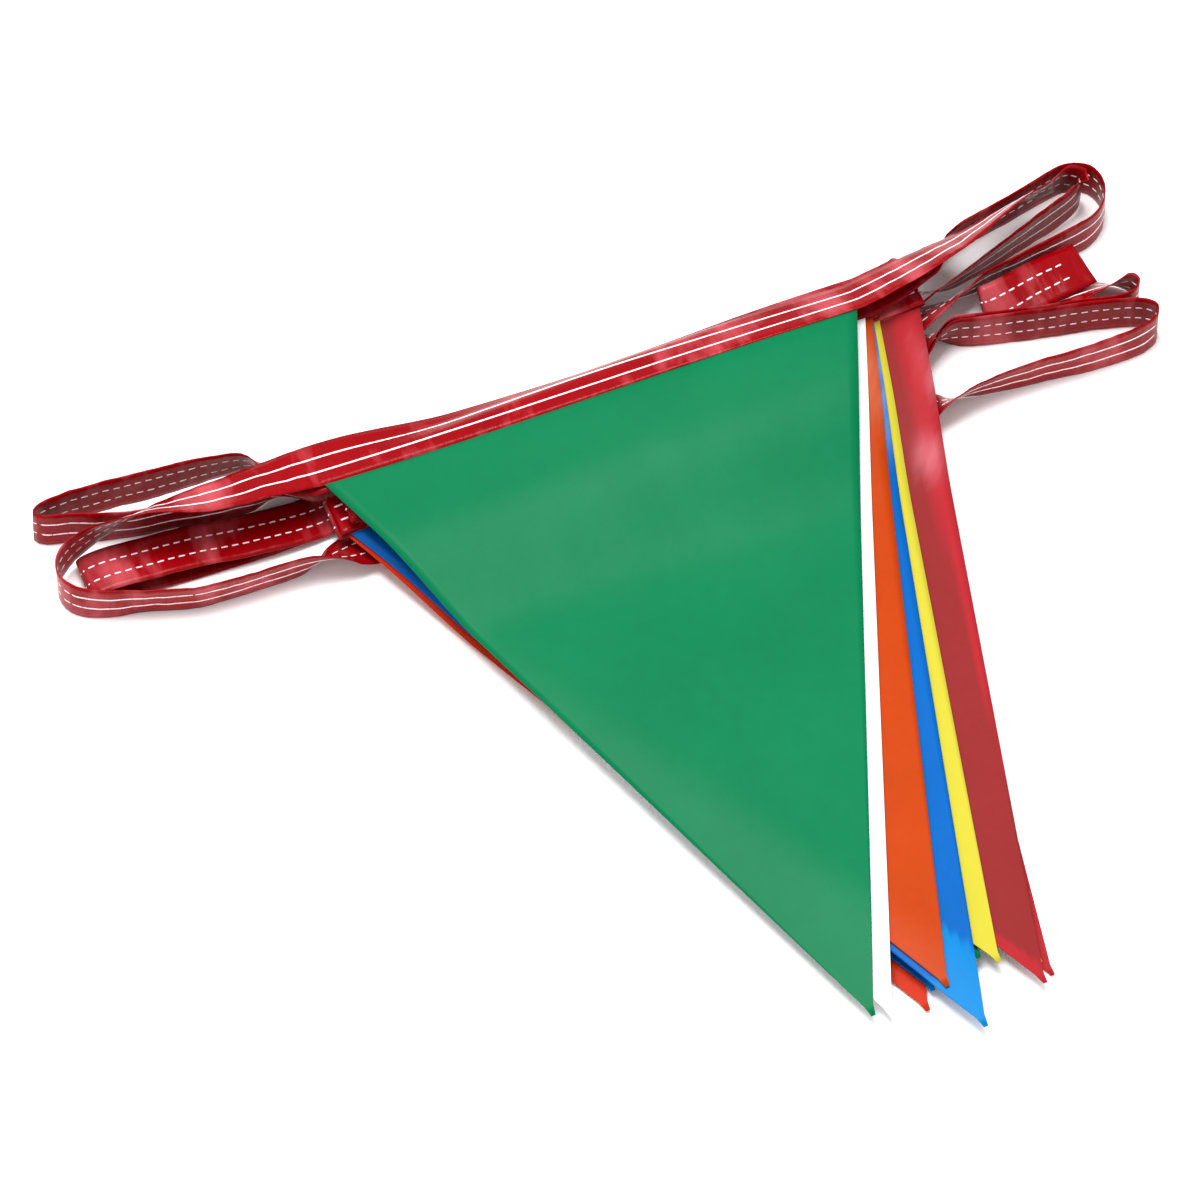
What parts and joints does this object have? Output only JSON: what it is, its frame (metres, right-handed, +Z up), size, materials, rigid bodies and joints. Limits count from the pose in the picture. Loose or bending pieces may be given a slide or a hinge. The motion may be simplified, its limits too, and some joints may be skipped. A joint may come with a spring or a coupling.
{
  "type": "roll of pennant bunting",
  "caption": "Bundle of triangular pennant bunting wound flat: stacked coloured film pennants under a glossy header tape laid back and forth in loose loops.",
  "frame": {"origin": "centre of the underside of the whole bundle", "axes": "+X along the header tape, +Y from the pennants' tips towards the tape, +Z up"},
  "size_m": [0.4364, 0.3418, 0.0363],
  "materials": {
    "tape_red": "glossy red vinyl tape with two rows of white stitching",
    "film_green": "satin film, softly mottled",
    "film_white": "satin film",
    "film_orange": "satin film",
    "film_blue": "satin film",
    "film_yellow": "satin film",
    "film_red": "thin satin film that lets what lies beneath show"
  },
  "bodies": {
    "root": {"header_tape": "tape_red", "pennant_01_green": "film_green", "pennant_02_white": "film_white", "pennant_03_orange": "film_orange", "pennant_04_blue": "film_blue", "pennant_05_yellow": "film_yellow", "pennant_06_red": "film_red", "pennant_07_green": "film_green", "pennant_08_white": "film_white", "pennant_09_blue": "film_blue", "pennant_10_orange": "film_orange", "pennant_11_yellow": "film_yellow", "pennant_12_red": "film_red"}
  },
  "joints": []
}
